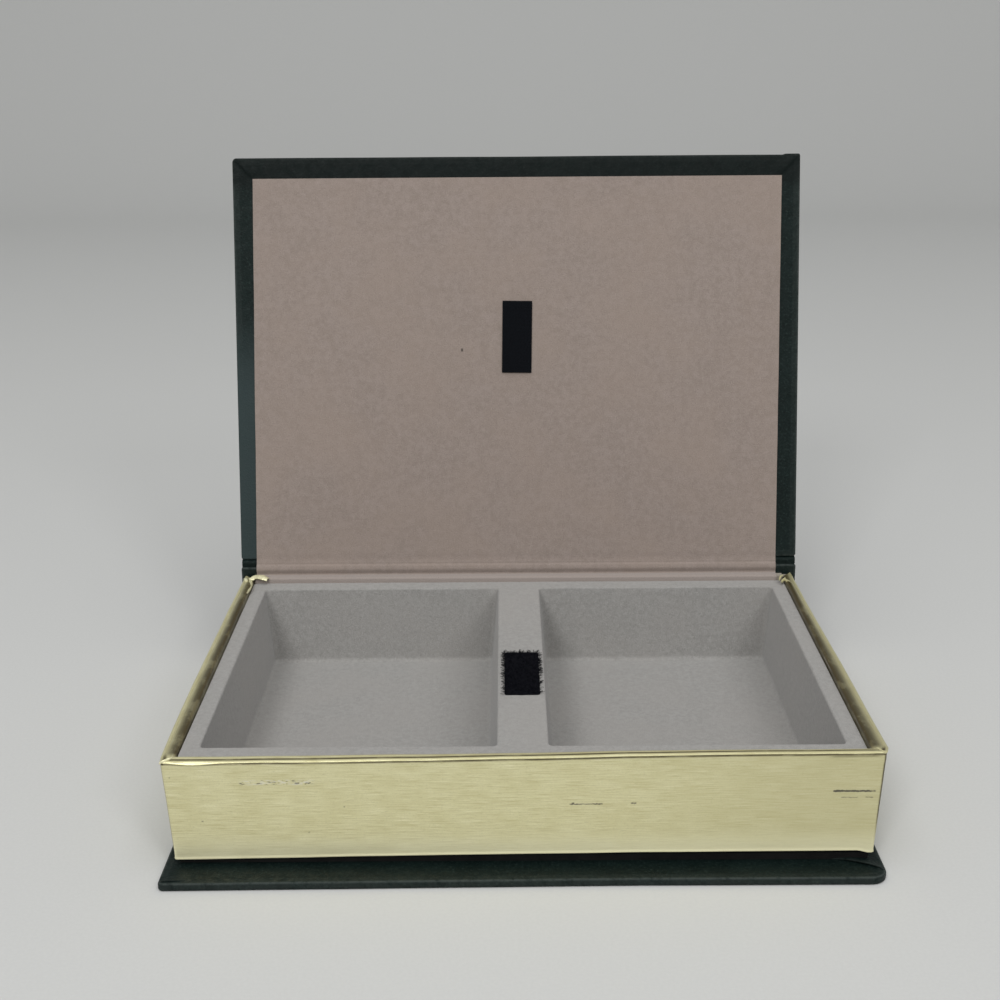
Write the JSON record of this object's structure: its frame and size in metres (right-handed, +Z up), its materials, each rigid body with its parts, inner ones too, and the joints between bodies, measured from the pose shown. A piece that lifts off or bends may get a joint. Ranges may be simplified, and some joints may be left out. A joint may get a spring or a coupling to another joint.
{
  "type": "book diversion safe",
  "caption": "Box made like a leather-bound book with gilt page edges; its cover lifts as a lid over a flocked tray of two compartments, held shut by hook and loop.",
  "frame": {"origin": "middle of the underside of the closed book's footprint, on the surface that it lies on", "axes": "+X along the spine, +Y from the front edge to the spine, +Z up"},
  "size_m": [0.242, 0.2203, 0.2183],
  "materials": {
    "greyboard": "matte",
    "dark_board": "matte",
    "green_leatherette": "satin",
    "gilt_paper": "satin",
    "grey_flock": "matte",
    "lining_paper": "matte",
    "black_loop": "matte",
    "black_hook": "satin"
  },
  "bodies": {
    "box": {"lower_cover_board": "greyboard", "lower_cover_leatherette": "green_leatherette", "spine_board": "greyboard", "spine_leatherette": "green_leatherette", "block_floor_board": "dark_board", "front_wall": "greyboard", "left_wall": "greyboard", "right_wall": "greyboard", "back_wall": "greyboard", "gilt_edge_paper": "gilt_paper", "front_ledge": "greyboard", "back_ledge": "greyboard", "left_ledge": "greyboard", "right_ledge": "greyboard", "compartment_tray": "grey_flock", "loop_pad": "black_loop", "back_wall_lining": "lining_paper", "joint_lining": "lining_paper", "joint_leatherette": "green_leatherette"},
    "lid": {"lid_board": "greyboard", "lid_leatherette": "green_leatherette", "lid_lining": "lining_paper", "hook_strip": "black_hook"}
  },
  "joints": [
    {"name": "lid_hinge", "type": "hinge", "parent": "box", "child": "lid", "pos_m": [0, 0.0879, 0.04335], "axis": [1, 0, 0], "range_deg": [-90, 102.2], "deforming": ["joint_lining", "joint_leatherette"]}
  ]
}
